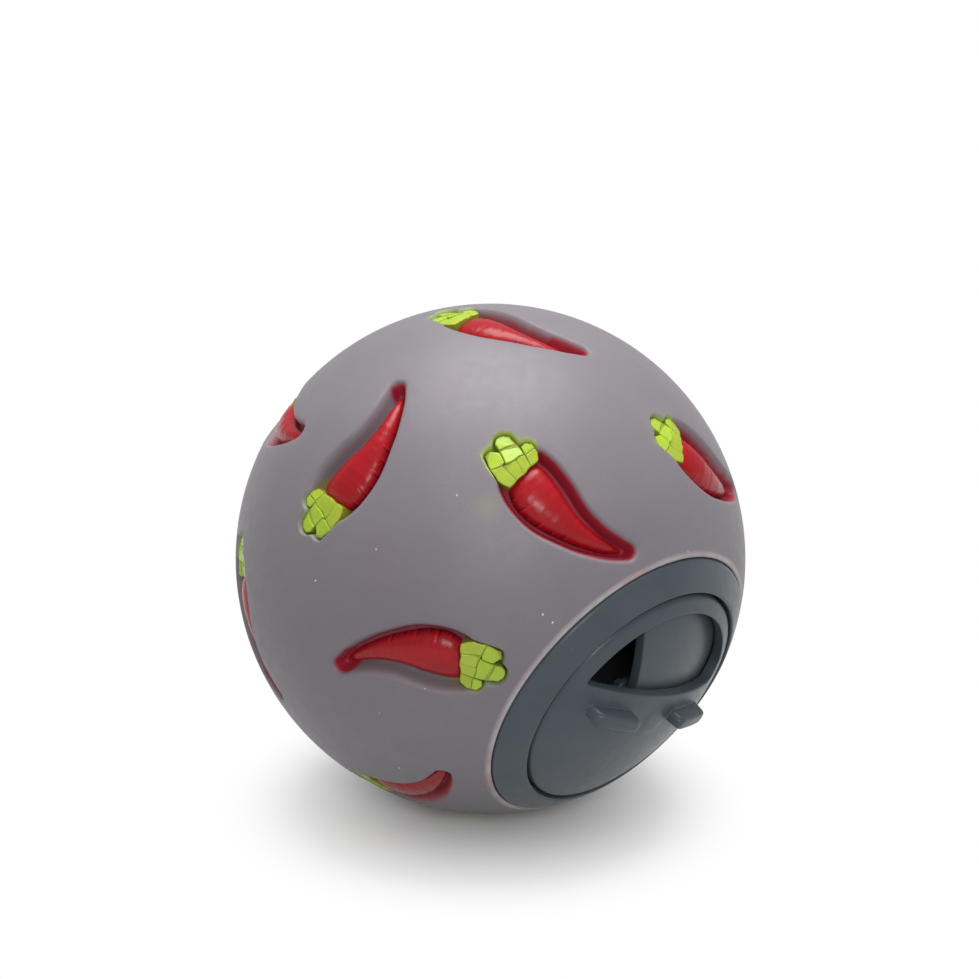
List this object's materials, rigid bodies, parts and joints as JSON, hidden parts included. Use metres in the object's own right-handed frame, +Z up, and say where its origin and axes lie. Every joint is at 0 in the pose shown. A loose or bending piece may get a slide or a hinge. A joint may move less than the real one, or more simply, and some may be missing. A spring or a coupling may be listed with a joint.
{
  "type": "treat dispensing ball",
  "caption": "Hollow soft treat ball with carrot reliefs in pockets and a grey plug whose ribbed dial turns to open a half-moon outlet.",
  "frame": {"origin": "centre of the ball", "axes": "+Z up as the ball lies in the picture, -Y towards the side that the plug looks out of, with the plug's axis 25 degrees below -Y"},
  "size_m": [0.07, 0.0699, 0.07],
  "materials": {
    "shell": "soft satin, mid grey with a slight purple cast",
    "plug": "satin moulded, dark slate grey",
    "root_paint": "semi-gloss sprayed red paint on the soft shell",
    "top_paint": "semi-gloss sprayed lime paint on the soft shell"
  },
  "bodies": {
    "ball": {"ball_shell": "shell", "plug_insert": "plug", "carrot_root_01": "root_paint", "carrot_root_02": "root_paint", "carrot_root_03": "root_paint", "carrot_root_04": "root_paint", "carrot_root_05": "root_paint", "carrot_root_06": "root_paint", "carrot_root_07": "root_paint", "carrot_root_08": "root_paint", "carrot_root_09": "root_paint", "carrot_root_10": "root_paint", "carrot_root_11": "root_paint", "carrot_root_12": "root_paint", "carrot_root_13": "root_paint", "carrot_root_14": "root_paint", "carrot_root_15": "root_paint", "carrot_root_16": "root_paint", "carrot_root_17": "root_paint", "carrot_root_18": "root_paint", "carrot_root_19": "root_paint", "carrot_root_20": "root_paint", "carrot_top_01": "top_paint", "carrot_top_02": "top_paint", "carrot_top_03": "top_paint", "carrot_top_04": "top_paint", "carrot_top_05": "top_paint", "carrot_top_06": "top_paint", "carrot_top_07": "top_paint", "carrot_top_08": "top_paint", "carrot_top_09": "top_paint", "carrot_top_10": "top_paint", "carrot_top_11": "top_paint", "carrot_top_12": "top_paint", "carrot_top_13": "top_paint", "carrot_top_14": "top_paint", "carrot_top_15": "top_paint", "carrot_top_16": "top_paint", "carrot_top_17": "top_paint", "carrot_top_18": "top_paint", "carrot_top_19": "top_paint", "carrot_top_20": "top_paint"},
    "dial": {"dial": "plug"}
  },
  "joints": [
    {"name": "dial_turn", "type": "hinge", "parent": "ball", "child": "dial", "pos_m": [0, 0, 0], "axis": [0, -0.9063, -0.4226], "continuous": true}
  ]
}
